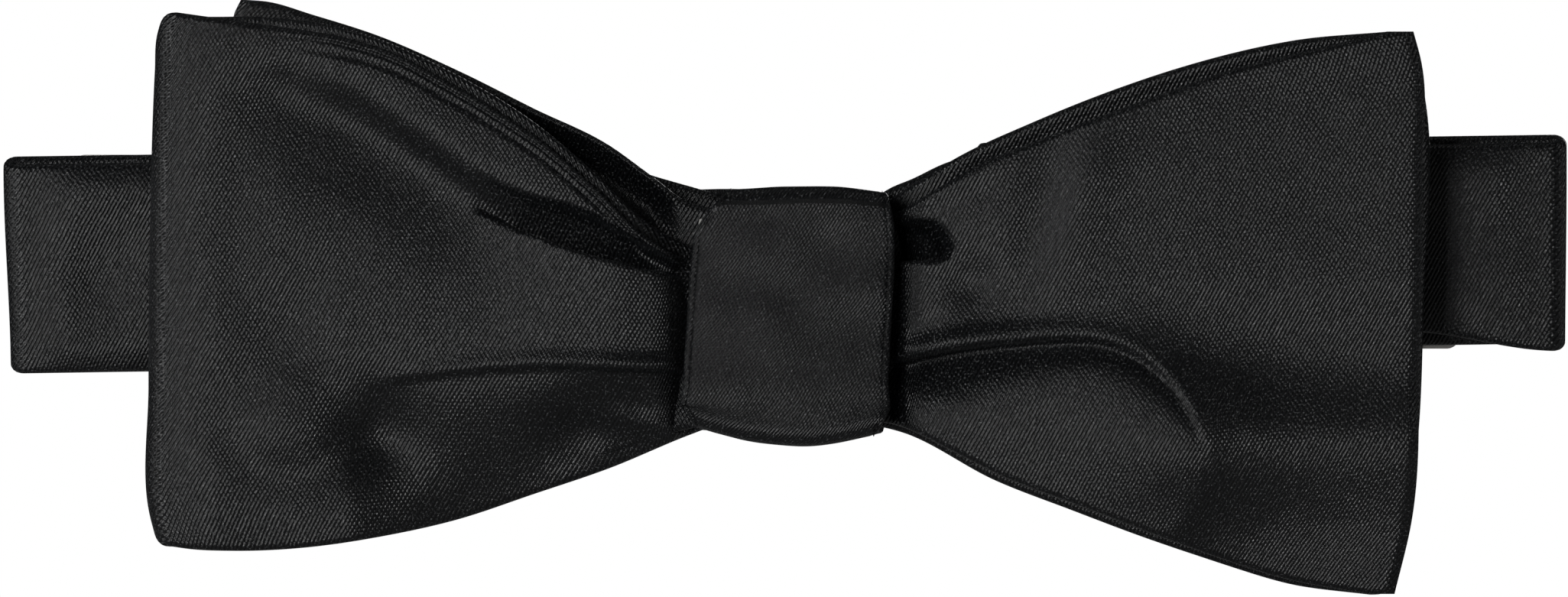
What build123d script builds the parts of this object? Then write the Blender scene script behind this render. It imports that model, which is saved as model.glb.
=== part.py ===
"""A pre-tied dress bow tie with an adjustable neckband, its neckband folded flat behind the bow.

Frame: +X to the right as seen from the front, +Y from the bow towards the neck, +Z up.
The origin is the middle of the knot's back face, which bears on the collar. Sizes are in millimetres.
"""

import os

from build123d import *

os.makedirs("parts", exist_ok=True)

# ---- cloth and thread
silk_thickness = 0.3
interlining_thickness = 0.5
layer_gap = 0.05  # free air between two layers of cloth
thread_diameter = 0.36
thread_clearance = 0.17  # between the waist thread and the cloth on each side of it
wrap_clearance = 0.35  # free air between the knot's wrap and the band inside it

# ---- bow: two blades, each a loop on one side and a sewn end on the other
front_loop_reach = 60.0  # centre to the fold of the front loop, on the left
front_end_reach = 59.2  # centre to the sewn end of the front blade, on the right
back_loop_reach = 60.4  # centre to the fold of the back loop, on the right
back_end_reach = 52.0  # centre to the sewn end of the back blade, on the left
left_top, left_bottom = 28.0, -22.0  # wing tips of the front loop
right_top, right_bottom = 26.4, -26.0  # wing tips of the front blade's end and of the back loop
back_top, back_bottom = 29.6, -20.0  # wing tips of the back blade's end
waist_half_height = 10.4  # the gathered middle, under the knot
wing_fullness = 0.75  # share of a tip's height that a wing's edge keeps half way in
loop_depth = 4.8  # from one run of a loop to the other, at its fold
front_loop_swell, back_loop_swell = 1.0, -0.6  # how far a loop's front run bows out half way
ply_step = 1.5  # one gathered ply to the next, under the knot
front_end_flare, back_end_flare = -3.4, 0.8  # how far a sewn end stands off the waist, along Y
interlining_inset = 1.6  # from a blade's edge to its interlining

# ---- knot
knot_width = 18.8
knot_half_height = 12.1
knot_corner = 2.4
padding_thickness = 2.2
padding_inset = 1.0
padding_clearance = 0.12  # between the padding and the wrap in front of it
thread_turns = 3
knot_stitch_turns = 12
stitch_length = 1.6

# ---- silk neckband
band_height = 19.8
band_lift = 5.4  # the band's middle above the knot's middle
band_reach = 72.4  # centre to the axis of each outer fold
band_waist_top, band_waist_bottom = 10.2, -8.4  # where the knot pinches the band
band_shoulder_reach = 20.0  # where the band has its full height again
leaf_rise = 0.6  # a folded leaf shows this far above the band in front of it
leaf_spacing = 2.0  # middle of the band to middle of the first leaf
strap_spacing = 2.4  # middle of the first leaf to middle of the silk end
inner_fold_reach = 20.0  # centre to the axis of each inner fold
silk_end_length = 6.5  # silk past the inner fold, where the tape is sewn in
fold_gap = 0.15  # free air at each end of a stretch of band or tape

# ---- adjuster tape
tape_width = 15.0
tape_thickness = 0.5
tape_sewn_in = 5.0  # tape inside the silk end
tape_clearance = 0.15  # between a bar and the tape round it
tail_slope, tail_flat = 5.0, 6.0  # a turned-back tail: the part that closes up, and the part sewn down

# ---- eye, hook and slider
bar_reach = 58.0  # centre to the bar of the hook and of the eye
bar_diameter = 1.6
plate_thickness = 1.0
rail_width = 1.4
rail_clearance = 0.3  # between the tape's edge and a rail
eye_length = 9.6  # from the bar's axis to the far edge
hook_frame_length = 6.0
crossbar_width = 2.0
frame_corner = 1.2
tongue_width = 7.0
tongue_length = 5.0
tongue_curl = 1.3  # radius of the hook's bend, to the middle of the plate
tongue_return = 4.0
slider_reach = 34.0
slider_half_length = 4.0
slider_bar_diameter = 1.0
slider_plate = 0.6
slider_crossbar = 1.6

# ---- stitching
seam_inset = 0.9  # from the edges that a sewn box follows
bartack_length = 10.0
bartack_width = 1.4
bartack_turns = 9

# ---- depths worked out from the values above
blade_thickness = 2 * silk_thickness + interlining_thickness + 2 * layer_gap
band_thickness = blade_thickness
wrap_core_offset = silk_thickness + layer_gap
band_y = -wrap_core_offset - interlining_thickness - wrap_clearance - band_thickness / 2
leaf_y = band_y + leaf_spacing
strap_y = leaf_y + strap_spacing
outer_fold_y = (band_y + leaf_y) / 2
inner_fold_y = (leaf_y + strap_y) / 2
thread_back_y = band_y - band_thickness / 2 - thread_clearance
back_return_y = thread_back_y - thread_diameter - thread_clearance - blade_thickness / 2
back_waist_y = back_return_y - ply_step
front_return_y = back_waist_y - ply_step
front_waist_y = front_return_y - ply_step
thread_front_y = front_waist_y - blade_thickness / 2 - thread_clearance - thread_diameter
padding_y = thread_front_y - 2 * layer_gap - padding_thickness / 2
padding_front_y = padding_y - padding_thickness / 2
knot_depth = wrap_core_offset + interlining_thickness + padding_clearance - padding_front_y
bar_turn = bar_diameter / 2 + tape_clearance + tape_thickness / 2  # radius of the tape's middle
bar_y = strap_y + bar_turn
return_y = bar_y + bar_turn
slider_turn = slider_bar_diameter / 2 + tape_clearance / 2 + tape_thickness / 2
slider_bar_y = return_y - slider_turn
slider_base_y = strap_y - tape_thickness / 2 - tape_clearance - slider_plate
leaf_lift = band_lift + leaf_rise
silk_end_reach = inner_fold_reach + silk_end_length
frame_height = tape_width + 2 * (rail_clearance + rail_width)
above_everything = 3 * max(left_top, right_top, back_top)


def save(part, name):
    part.label = name
    export_step(part, f"parts/{name}.step")


# ======== bow


def wing_edge(tip_x, tip_z, knot_x, waist_z):
    """The long edge of a wing, from its tip to the knot."""
    middle_z = wing_fullness * tip_z + (1 - wing_fullness) * waist_z
    return Spline((tip_x, tip_z), ((tip_x + knot_x) / 2, middle_z), (knot_x, waist_z))


def blade_outline(side, loop, end, margin):
    """A butterfly outline on XZ. loop and end give (reach, top, bottom); the loop keeps its whole reach."""
    waist = waist_half_height - margin
    edge = side * knot_width / 2
    loop_x, loop_top, loop_bottom = side * loop[0], loop[1] - margin, loop[2] + margin
    end_x, end_top, end_bottom = -side * (end[0] - margin), end[1] - margin, end[2] + margin
    with BuildSketch(Plane.XZ) as outline:
        with BuildLine():
            loop_upper = wing_edge(loop_x, loop_top, edge, waist)
            loop_lower = wing_edge(loop_x, loop_bottom, edge, -waist)
            end_upper = wing_edge(end_x, end_top, -edge, waist)
            end_lower = wing_edge(end_x, end_bottom, -edge, -waist)
            Line(loop_upper @ 1, end_upper @ 1)
            Line(end_upper @ 0, end_lower @ 0)
            Line(end_lower @ 1, loop_lower @ 1)
            Line(loop_lower @ 0, loop_upper @ 0)
        make_face()
    return outline.sketch


def blade_route(side, loop_reach, end_reach, waist_y, return_y, swell, flare):
    """A blade seen from above: its sewn end, the waist, round the loop and back to the middle."""
    knot_edge = side * knot_width / 2
    fold_radius = loop_depth / 2
    fold_x = side * (loop_reach - blade_thickness / 2 - fold_radius)
    front_y = return_y - loop_depth
    level = (side, 0)
    with BuildLine() as route:
        sewn_run = Spline((-side * end_reach, waist_y + flare), (-knot_edge, waist_y), tangents=(level, level))
        waist = Line(sewn_run @ 1, (knot_edge, waist_y))
        swell_point = ((knot_edge + fold_x) / 2, front_y - swell)
        front_run = Spline(waist @ 1, swell_point, (fold_x, front_y), tangents=(level, level))
        fold_point = (fold_x + side * fold_radius, front_y + fold_radius)
        fold = ThreePointArc(front_run @ 1, fold_point, (fold_x, return_y))
        Line(fold @ 1, (0, return_y))
    return route.edges()


def blade(name, side, loop, end, waist_y, return_y, swell, flare):
    """The two silk plies of a blade and the interlining between them. side is the loop's side."""
    route = blade_route(side, loop[0], end[0], waist_y, return_y, swell, flare)
    with BuildSketch(Plane.XY.offset(-above_everything / 2)) as plies:
        trace(route, line_width=blade_thickness)
        trace(route, line_width=interlining_thickness + 2 * layer_gap, mode=Mode.SUBTRACT)
    with BuildSketch(Plane.XY.offset(-above_everything / 2)) as core:
        trace(route, line_width=interlining_thickness)
    inside_ply, outside_ply = plies.sketch.faces().sort_by(SortBy.AREA)
    layers = (
        ("outer_silk", outside_ply, 0.0),
        ("inner_silk", inside_ply, 0.0),
        ("interlining", core.sketch.faces(), interlining_inset),
    )
    for layer, faces, margin in layers:
        outline = blade_outline(side, loop, end, margin)
        with BuildPart() as ply:
            extrude(faces, amount=above_everything)
            extrude(outline, amount=above_everything, both=True, mode=Mode.INTERSECT)
        save(ply.part, f"{name}_{layer}")


blade(
    "front_blade",
    side=-1,
    loop=(front_loop_reach, left_top, left_bottom),
    end=(front_end_reach, right_top, right_bottom),
    waist_y=front_waist_y,
    return_y=front_return_y,
    swell=front_loop_swell,
    flare=front_end_flare,
)
blade(
    "back_blade",
    side=1,
    loop=(back_loop_reach, right_top, right_bottom),
    end=(back_end_reach, back_top, back_bottom),
    waist_y=back_waist_y,
    return_y=back_return_y,
    swell=back_loop_swell,
    flare=back_end_flare,
)


# ======== knot: thread round the gathered waist, padding, interlining and the silk wrap


def ring(front_y, back_y, half_height, corner, wall):
    """A rounded rectangular ring on YZ, given by its outer faces."""
    depth = back_y - front_y
    with BuildSketch(Plane.YZ) as outline:
        with Locations(((front_y + back_y) / 2, 0)):
            RectangleRounded(depth, 2 * half_height, corner)
            RectangleRounded(depth - 2 * wall, 2 * (half_height - wall), corner - wall, mode=Mode.SUBTRACT)
    return outline.sketch


def ring_band(name, width, outline):
    with BuildPart() as band:
        extrude(outline, amount=width / 2, both=True)
    save(band.part, name)


def zigzag(middle, length, width, turns, upright=False):
    """A zigzag thread about middle, along X or upright along Y of the current sketch plane."""
    with BuildLine() as path:
        points = []
        for turn in range(turns + 1):
            along = length * (turn / turns - 0.5)
            across = width * (0.5 if turn % 2 else -0.5)
            step = (across, along) if upright else (along, across)
            points.append((middle[0] + step[0], middle[1] + step[1]))
        Polyline(*points)
    trace(path.edges(), line_width=thread_diameter)


ring_band(
    "waist_thread",
    thread_turns * thread_diameter,
    ring(
        thread_front_y,
        thread_back_y,
        waist_half_height + layer_gap + thread_diameter,
        2 * thread_diameter,
        thread_diameter,
    ),
)
ring_band("knot_wrap_silk", knot_width, ring(-knot_depth, 0, knot_half_height, knot_corner, silk_thickness))
ring_band(
    "knot_wrap_interlining",
    knot_width - 2 * layer_gap,
    ring(
        wrap_core_offset - knot_depth,
        -wrap_core_offset,
        knot_half_height - wrap_core_offset,
        knot_corner - wrap_core_offset,
        interlining_thickness,
    ),
)

with BuildPart() as padding:
    with Locations((0, padding_y, 0)):
        Box(knot_width - 2 * padding_inset, padding_thickness, 2 * (waist_half_height - padding_inset))
    fillet(padding.edges().filter_by(Axis.Y), radius=2 * padding_inset)
save(padding.part, "knot_padding")

# whip stitches that close the wrap, on its underside near the back
with BuildPart() as knot_stitches:
    with BuildSketch(Plane.XY.offset(-knot_half_height - layer_gap - thread_diameter)):
        zigzag((0, -knot_corner - stitch_length), knot_width - 2 * padding_inset, stitch_length, knot_stitch_turns)
    extrude(amount=thread_diameter)
save(knot_stitches.part, "knot_stitches")


# ======== neckband


def slab(outline, middle_y, thickness, mode=Mode.ADD):
    """An XZ outline as thick as cloth, centred on middle_y. It joins the current BuildPart."""
    extrude(outline.moved(Location((0, middle_y, 0))), amount=thickness / 2, both=True, mode=mode)


def band_outline(margin):
    """The neckband between its outer folds, on XZ, pinched where the knot holds it."""
    top = band_lift + band_height / 2 - margin
    bottom = band_lift - band_height / 2 + margin
    waist_top, waist_bottom = band_waist_top - margin, band_waist_bottom + margin
    reach = band_reach - fold_gap
    level = ((1, 0), (1, 0))
    with BuildSketch(Plane.XZ) as outline:
        with BuildLine():
            upper = Spline((knot_width / 2, waist_top), (band_shoulder_reach, top), tangents=level)
            lower = Spline((knot_width / 2, waist_bottom), (band_shoulder_reach, bottom), tangents=level)
            Polyline((0, waist_top), upper @ 0)
            Polyline(upper @ 1, (reach, top), (reach, bottom), lower @ 1)
            Polyline(lower @ 0, (0, waist_bottom))
            mirror(about=Plane.YZ)
        make_face()
    return outline.sketch


def stretch(x_from, x_to, lift, height):
    """A straight stretch of band or tape, on XZ."""
    with BuildSketch(Plane.XZ) as outline:
        with Locations(((x_from + x_to) / 2, lift)):
            Rectangle(abs(x_to - x_from), height)
    return outline.sketch


def silk_tube(name, outline, cavity, core, middle_y):
    """Silk folded round its interlining: a flat tube, open at both ends."""
    with BuildPart() as silk:
        slab(outline, middle_y, band_thickness)
        slab(cavity, middle_y, interlining_thickness + 2 * layer_gap, mode=Mode.SUBTRACT)
    save(silk.part, f"{name}_silk")
    with BuildPart() as interlining:
        slab(core, middle_y, interlining_thickness)
    save(interlining.part, f"{name}_interlining")


def fold(name, axis_x, axis_y, middle_radius, lift, opens_towards):
    """A half turn of the silk round a vertical axis, bulging away from opens_towards."""
    outer_radius = middle_radius + band_thickness / 2
    with BuildPart() as turn:
        with BuildSketch(Plane.XY.offset(lift - band_height / 2)):
            with Locations((axis_x, axis_y)):
                Circle(outer_radius)
                Circle(middle_radius - band_thickness / 2, mode=Mode.SUBTRACT)
            with Locations((axis_x + opens_towards * outer_radius, axis_y)):
                Rectangle(2 * outer_radius, 2 * outer_radius, mode=Mode.SUBTRACT)
        extrude(amount=band_height)
    save(turn.part, name)


silk_tube(
    "neckband",
    band_outline(0),
    band_outline(silk_thickness),
    band_outline(silk_thickness + layer_gap),
    band_y,
)


def leaf(name, side):
    """The stretch of neckband that lies folded behind the first one, and the folds at its two ends."""
    near = side * (inner_fold_reach + fold_gap)
    far = side * (band_reach - fold_gap)
    heights = (band_height, band_height - 2 * silk_thickness, band_height - 2 * wrap_core_offset)
    silk, cavity, core = (stretch(near, far, leaf_lift, height) for height in heights)
    silk_tube(f"{name}_leaf", silk, cavity, core, leaf_y)
    between = (band_lift + leaf_lift) / 2
    fold(f"{name}_outer_fold", side * band_reach, outer_fold_y, leaf_spacing / 2, between, -side)
    fold(f"{name}_inner_fold", side * inner_fold_reach, inner_fold_y, strap_spacing / 2, leaf_lift, side)


def silk_end(name, side):
    """The end of the silk past the inner fold, with a slot for the tape, and the box sewn through both."""
    near = side * (inner_fold_reach + fold_gap)
    far = side * silk_end_reach
    slot_start = side * (silk_end_reach - tape_sewn_in - layer_gap)
    with BuildPart() as silk:
        slab(stretch(near, far, leaf_lift, band_height), strap_y, band_thickness)
        slot = stretch(slot_start, far, leaf_lift, tape_width + 2 * layer_gap)
        slab(slot, strap_y, tape_thickness + 2 * layer_gap, mode=Mode.SUBTRACT)
    save(silk.part, f"{name}_silk_end")
    seam_y = strap_y + band_thickness / 2 + layer_gap + thread_diameter / 2
    seam_x = side * (silk_end_reach - tape_sewn_in / 2)
    with BuildPart() as seam:
        with BuildSketch(Plane.XZ) as outline:
            with Locations((seam_x, leaf_lift)):
                Rectangle(tape_sewn_in - 2 * seam_inset, tape_width - 2 * seam_inset)
                Rectangle(
                    tape_sewn_in - 2 * seam_inset - 2 * thread_diameter,
                    tape_width - 2 * seam_inset - 2 * thread_diameter,
                    mode=Mode.SUBTRACT,
                )
        slab(outline.sketch, seam_y, thread_diameter)
    save(seam.part, f"{name}_end_stitches")


# ======== adjuster tape


def tape(name, route):
    """Tape along a route on XY, as wide as tape_width along Z."""
    with BuildPart() as ribbon:
        with BuildSketch(Plane.XY.offset(leaf_lift - tape_width / 2)):
            trace(route, line_width=tape_thickness)
        extrude(amount=tape_width)
    save(ribbon.part, name)


def half_turn(x, y, radius, bulge):
    """Half way round a bar at (x, y), from its front to its back, passing it on the bulge side."""
    return ThreePointArc((x, y - radius), (x + bulge * radius, y), (x, y + radius))


def tail(x, from_y, to_y, towards):
    """A turned-back end that closes up to the stretch it is sewn to and then lies along it."""
    level = (towards, 0)
    slope = Spline((x, from_y), (x + towards * tail_slope, to_y), tangents=(level, level))
    Line(slope @ 1, (x + towards * (tail_slope + tail_flat), to_y))


def bartack(name, x, surface_y):
    """A dense zigzag across the tape that sews its tail down, on the tape's back face."""
    with BuildPart() as tack:
        with BuildSketch(Plane.XZ) as outline:
            zigzag((x, leaf_lift), bartack_length, bartack_width, bartack_turns, upright=True)
        slab(outline.sketch, surface_y + layer_gap + thread_diameter / 2, thread_diameter)
    save(tack.part, name)


tape_start = silk_end_reach - tape_sewn_in
tail_y = strap_y + tape_thickness + layer_gap

with BuildLine() as left_tape_route:
    Line((-tape_start, strap_y), (-bar_reach, strap_y))
    half_turn(-bar_reach, bar_y, bar_turn, -1)
    tail(-bar_reach, return_y, tail_y, 1)
tape("left_tape", left_tape_route.edges())

with BuildLine() as front_run:
    Line((tape_start, strap_y), (bar_reach - fold_gap, strap_y))
tape("right_tape", front_run.edges())

with BuildLine() as hook_turn:
    half_turn(bar_reach, bar_y, bar_turn, 1)
tape("tape_turn", hook_turn.edges())

with BuildLine() as return_run:
    Line((bar_reach - fold_gap, return_y), (slider_reach + fold_gap, return_y))
tape("tape_return", return_run.edges())

with BuildLine() as slider_route:
    half_turn(slider_reach, slider_bar_y, slider_turn, -1)
    tail(slider_reach, slider_bar_y - slider_turn, return_y - tape_thickness - layer_gap, 1)
tape("slider_wrap", slider_route.edges())

tack_offset = tail_slope + tail_flat / 2
bartack("left_bartack", -bar_reach + tack_offset, tail_y + tape_thickness / 2)
bartack("slider_bartack", slider_reach + tack_offset, return_y + tape_thickness / 2)

for side, side_name in ((-1, "left"), (1, "right")):
    leaf(side_name, side)
    silk_end(side_name, side)


# ======== metal fittings


def frame(side, length):
    """A flat frame at a bar: the round bar, two rails past the tape's edges and a crossbar at the far end."""
    with Locations((side * bar_reach, bar_y, leaf_lift)):
        Cylinder(bar_diameter / 2, frame_height)
    with BuildSketch(Plane.XZ) as outline:
        with Locations((side * (bar_reach + length / 2), leaf_lift)):
            RectangleRounded(length, frame_height, frame_corner)
        with Locations((side * (bar_reach + (length - crossbar_width) / 2), leaf_lift)):
            Rectangle(length - crossbar_width, frame_height - 2 * rail_width, mode=Mode.SUBTRACT)
    slab(outline.sketch, bar_y, plate_thickness)


with BuildPart() as eye:
    frame(-1, eye_length)
save(eye.part, "eye")

with BuildPart() as hook:
    frame(1, hook_frame_length)
    tongue_root = bar_reach + hook_frame_length - crossbar_width / 2
    tongue_tip = bar_reach + hook_frame_length + tongue_length - tongue_curl
    with BuildSketch(Plane.XY.offset(leaf_lift - tongue_width / 2)):
        with BuildLine() as tongue_route:
            Line((tongue_root, bar_y), (tongue_tip, bar_y))
            half_turn(tongue_tip, bar_y + tongue_curl, tongue_curl, 1)
            Line((tongue_tip, bar_y + 2 * tongue_curl), (tongue_tip - tongue_return, bar_y + 2 * tongue_curl))
        trace(tongue_route.edges(), line_width=plate_thickness)
    extrude(amount=tongue_width)
save(hook.part, "hook")


def slider_cheek(bottom_z):
    """A side plate of the slider: a flat base with a hump that carries the middle bar."""
    with BuildSketch(Plane.XY.offset(bottom_z)) as cheek:
        with Locations((slider_reach, slider_base_y + slider_plate / 2)):
            Rectangle(2 * slider_half_length, slider_plate)
        with Locations((slider_reach, slider_bar_y)):
            Circle(slider_bar_diameter / 2)
        make_hull()
    extrude(cheek.sketch, amount=rail_width)


with BuildPart() as slider:
    slider_cheek(leaf_lift - frame_height / 2)
    slider_cheek(leaf_lift + frame_height / 2 - rail_width)
    with Locations((slider_reach, slider_bar_y, leaf_lift)):
        Cylinder(slider_bar_diameter / 2, frame_height)
    for end in (slider_reach - slider_half_length, slider_reach + slider_half_length - slider_crossbar):
        crossbar = stretch(end, end + slider_crossbar, leaf_lift, frame_height)
        slab(crossbar, slider_base_y + slider_plate / 2, slider_plate)
save(slider.part, "slider")
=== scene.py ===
import math

import bpy
import numpy as np
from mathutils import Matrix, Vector, noise


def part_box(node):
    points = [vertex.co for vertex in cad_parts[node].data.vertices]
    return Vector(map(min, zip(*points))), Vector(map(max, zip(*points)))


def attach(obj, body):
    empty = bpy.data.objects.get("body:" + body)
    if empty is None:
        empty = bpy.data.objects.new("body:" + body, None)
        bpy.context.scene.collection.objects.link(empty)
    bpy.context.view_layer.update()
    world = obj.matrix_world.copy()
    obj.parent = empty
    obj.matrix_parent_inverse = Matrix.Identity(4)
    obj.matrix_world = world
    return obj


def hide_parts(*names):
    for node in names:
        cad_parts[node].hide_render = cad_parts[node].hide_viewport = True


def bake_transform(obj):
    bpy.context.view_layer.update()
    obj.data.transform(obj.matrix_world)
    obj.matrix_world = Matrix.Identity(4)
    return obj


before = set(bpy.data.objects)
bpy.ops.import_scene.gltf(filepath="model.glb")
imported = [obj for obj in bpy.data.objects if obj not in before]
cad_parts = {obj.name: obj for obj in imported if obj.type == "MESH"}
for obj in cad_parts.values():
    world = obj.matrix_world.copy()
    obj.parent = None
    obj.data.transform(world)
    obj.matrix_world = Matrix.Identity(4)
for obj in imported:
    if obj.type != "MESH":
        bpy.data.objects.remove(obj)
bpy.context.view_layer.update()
mm = 0.001

# sizes are in millimetres, and a height counts towards the viewer, so height = -Y


def smoothLine(points, x):
    # a smooth curve through a few given points with x rising, level beyond its ends
    px = np.array([p[0] for p in points], float)
    py = np.array([p[1] for p in points], float)
    slope = np.gradient(py, px)
    x = np.clip(np.asarray(x, float), px[0], px[-1])
    i = np.clip(np.searchsorted(px, x, side="right") - 1, 0, len(px) - 2)
    width = px[i + 1] - px[i]
    t = (x - px[i]) / width
    rise = (2 * t**3 - 3 * t**2 + 1) * py[i] + (3 * t**2 - 2 * t**3) * py[i + 1]
    lean = (t**3 - 2 * t**2 + t) * slope[i] + (t**3 - t**2) * slope[i + 1]
    return rise + lean * width


def bell(distance, width):
    return np.exp(-0.5 * (distance / width) ** 2)


def ramp(x, start, end):
    t = np.clip((x - start) / (end - start), 0, 1)
    return t * t * (3 - 2 * t)


def clouds(x, z, size, seed):
    flat = [noise.noise(Vector((a / size, b / size, seed))) for a, b in zip(x.ravel(), z.ravel())]
    return np.array(flat).reshape(x.shape)


def gridNormals(points):
    normal = np.cross(np.gradient(points, axis=0), np.gradient(points, axis=1))
    return normal / np.maximum(np.linalg.norm(normal, axis=2, keepdims=True), 1e-9)


def arcAcross(points):
    # distance along each row of a grid, counted from the row's middle
    steps = np.linalg.norm(np.diff(points, axis=1), axis=2)
    run = np.concatenate([np.zeros((len(points), 1)), np.cumsum(steps, axis=1)], axis=1)
    middle = points.shape[1] // 2
    return run - run[:, middle:middle + 1]


def runLength(points):
    # distance along a line of points
    return np.concatenate([[0], np.cumsum(np.linalg.norm(np.diff(points, axis=0), axis=1))])


def gridUv(middle, surface):
    # the cloth laid flat: distance along its middle line, and across each row
    along = runLength(middle[:, middle.shape[1] // 2])
    return np.stack([np.broadcast_to(along[:, None], surface.shape[:2]), arcAcross(surface)], axis=-1)


def rollProfile(inset, half):
    # half the thickness of a turned edge at a distance in from the edge
    share = np.clip(inset / half, 0, 1)
    return half * np.sqrt(1 - (1 - share) ** 2)


def boxOf(node):
    return [[value / mm for value in corner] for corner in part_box(node)]


def makeMesh(name, points, faces, uv):
    mesh = bpy.data.meshes.new(name)
    mesh.from_pydata((np.asarray(points) * mm).tolist(), [], np.asarray(faces).tolist())
    layer = mesh.uv_layers.new(name="Cloth")
    corner = np.zeros(len(mesh.loops), np.int32)
    mesh.loops.foreach_get("vertex_index", corner)
    layer.data.foreach_set("uv", (np.asarray(uv)[corner] * mm).astype(np.float32).ravel())
    mesh.polygons.foreach_set("use_smooth", [True] * len(mesh.polygons))
    piece = bpy.data.objects.new(name, mesh)
    bpy.context.scene.collection.objects.link(piece)
    return piece


def gridFaces(index):
    return np.stack([index[:-1, :-1], index[1:, :-1], index[1:, 1:], index[:-1, 1:]], axis=-1).reshape(-1, 4)


def bridge(edge, count):
    # the faces between an edge and the same edge of the other face, count points further on
    return np.stack([edge[:-1], edge[1:], edge[1:] + count, edge[:-1] + count], axis=-1)


def shell(name, outside, inside, uv):
    # a sheet with its own thickness, closed all round, from the grids of its two faces
    count = outside.shape[0] * outside.shape[1]
    index = np.arange(count).reshape(outside.shape[:2])
    front = gridFaces(index)
    borders = [index[::-1, 0], index[:, -1], index[0], index[-1, ::-1]]
    faces = np.concatenate([front, front[:, ::-1] + count, *[bridge(edge, count) for edge in borders]])
    points = np.concatenate([outside.reshape(-1, 3), inside.reshape(-1, 3)])
    return makeMesh(name, points, faces, np.concatenate([uv.reshape(-1, 2)] * 2))


def sleeve(name, middle, inset, half, wall, ring=False):
    # cloth folded flat round itself: a flattened tube with a wall, open at its ends or a closed ring
    if ring:
        wide = np.concatenate([middle[-1:], middle, middle[:1]])
        normal = gridNormals(wide)[1:-1]
    else:
        normal = gridNormals(middle)
    offset = normal * rollProfile(inset, half)[..., None]
    skin = np.concatenate([middle + offset, (middle - offset)[:, -2:0:-1]], axis=1)
    padded = np.concatenate([skin[:, -1:], skin, skin[:, :1]], axis=1)
    if ring:
        padded = np.concatenate([padded[-1:], padded, padded[:1]])
    skinNormal = gridNormals(padded)[:, 1:-1]
    skinNormal = skinNormal[1:-1] if ring else skinNormal
    lining = skin - skinNormal * wall
    rows, columns = skin.shape[:2]
    count = rows * columns
    index = np.arange(count).reshape(rows, columns)
    index = np.concatenate([index, index[:, :1]], axis=1)
    if ring:
        index = np.concatenate([index, index[:1]])
    front = gridFaces(index)
    parts = [front, front[:, ::-1] + count]
    if not ring:
        parts += [bridge(index[0], count), bridge(index[-1, ::-1], count)]
    uv = gridUv(middle, skin).reshape(-1, 2)
    points = np.concatenate([skin.reshape(-1, 3), lining.reshape(-1, 3)])
    return makeMesh(name, points, np.concatenate(parts), np.concatenate([uv, uv]))


def columnsBetween(bottom, top, insets, count):
    # column places from bottom to top, close together at both edges where the cloth rolls over
    insets = np.array(insets)[None, :]
    share = np.linspace(0, 1, count)[None, :]
    low, high = bottom[:, None] + insets[:, -1:], top[:, None] - insets[:, -1:]
    places = [bottom[:, None] + insets[:, :-1], low + (high - low) * share, top[:, None] - insets[:, -2::-1]]
    return np.concatenate(places, axis=1)


def lowered(height, rows, columns):
    # the height with its narrow ridges shaved off and softened, never above the real one by much
    low = height.copy()
    for axis, reach in ((0, rows), (1, columns)):
        for shift in range(-reach, reach + 1):
            low = np.minimum(low, edgeShift(height if axis == 0 else low, shift, axis))
    for _ in range(3):
        for axis in (0, 1):
            low = (edgeShift(low, -1, axis) + low + edgeShift(low, 1, axis)) / 3
    return low


def edgeShift(grid, shift, axis):
    # the grid moved by some rows or columns, its edge repeated
    index = np.clip(np.arange(grid.shape[axis]) + shift, 0, grid.shape[axis] - 1)
    return np.take(grid, index, axis=axis)


# the bow: each blade runs from its return ply round a loop and across the knot to its sewn end

cloth = {
    "half": 0.6,  # half a blade's thickness, two plies of silk and the interlining
    "silk": 0.24,
    "coreHalf": 0.24,
    "coreInset": 1.6,
    "edgeInsets": (0, 0.05, 0.14, 0.3, 0.46, 0.58, 0.7, 0.9, 1.2),
    "rowStep": 0.42,
}

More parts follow.
